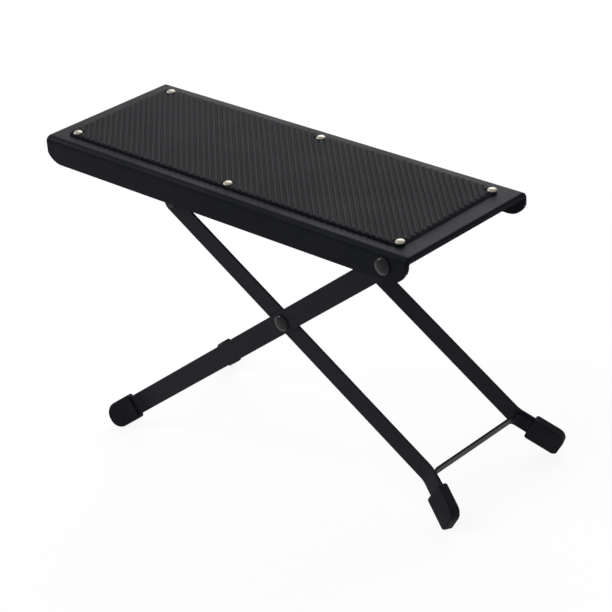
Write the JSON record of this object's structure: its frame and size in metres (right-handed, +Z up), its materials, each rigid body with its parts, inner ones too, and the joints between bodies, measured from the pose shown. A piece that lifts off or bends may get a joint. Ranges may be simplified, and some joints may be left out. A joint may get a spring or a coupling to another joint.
{
  "type": "guitar footrest",
  "caption": "Folding footrest: a pressed steel plate with a ribbed rubber mat on two crossed pairs of flat legs, with a cross rod that drops into notches under the plate to set the height.",
  "frame": {"origin": "on the floor under the middle of the outline: the soles of the four feet stand on Z = 0", "axes": "+Z up; +X along the plate towards its riveted, lower end; +Y across the plate, away from the camera of the picture"},
  "size_m": [0.3058, 0.1138, 0.2066],
  "materials": {
    "powder_coat": "black powder coat, satin, with a fine orange-peel surface",
    "mat_rubber": "ribbed black rubber, dull, grey on the rib crests",
    "foot_rubber": "moulded black rubber, dull",
    "rivet_nickel": "nickel plated, warm and slightly dull",
    "black_rivet": "blackened rivet head, semi-gloss",
    "dark_steel": "dark zinc-plated steel"
  },
  "bodies": {
    "hinged_legs": {"hinged_leg_near": "powder_coat", "hinged_leg_far": "powder_coat", "hinged_foot_near": "foot_rubber", "hinged_foot_far": "foot_rubber", "hinged_strap": "powder_coat", "cross_pivot_rivet_near": "black_rivet", "cross_pivot_rivet_far": "black_rivet"},
    "prop_legs": {"prop_leg_near": "powder_coat", "prop_leg_far": "powder_coat", "prop_foot_near": "foot_rubber", "prop_foot_far": "foot_rubber", "prop_strap": "powder_coat", "height_rod": "dark_steel"},
    "plate_pivots": {"plate_pivot_rivet_near": "black_rivet", "plate_pivot_rivet_far": "black_rivet", "plate_pivot_spacer_near": "dark_steel", "plate_pivot_spacer_far": "dark_steel", "plate_pivot_washer_near": "dark_steel", "plate_pivot_washer_far": "dark_steel"},
    "plate": {"foot_plate": "powder_coat", "rubber_mat": "mat_rubber", "mat_rivet_1": "rivet_nickel", "mat_rivet_2": "rivet_nickel", "mat_rivet_3": "rivet_nickel", "mat_rivet_4": "rivet_nickel", "mat_rivet_5": "rivet_nickel", "mat_rivet_6": "rivet_nickel", "rack_near": "powder_coat", "rack_far": "powder_coat"}
  },
  "joints": [
    {"name": "leg_fold", "type": "hinge", "parent": "hinged_legs", "child": "prop_legs", "pos_m": [0.02693, 0, 0.1037], "axis": [0, -1, 0], "range_deg": [0, 60]},
    {"name": "plate_pivot_turn", "type": "hinge", "parent": "hinged_legs", "child": "plate_pivots", "pos_m": [0.12755, 0, 0.16203], "axis": [0, -1, 0], "range_deg": [0, 28.9]},
    {"name": "plate_lift", "type": "hinge", "parent": "plate_pivots", "child": "plate", "pos_m": [0.12755, 0, 0.16203], "axis": [0, 1, 0], "range_deg": [-1.5, 40]}
  ],
  "couplings": [
    {"joint": "plate_pivot_turn", "follows": "leg_fold", "ratio": 0.48}
  ]
}
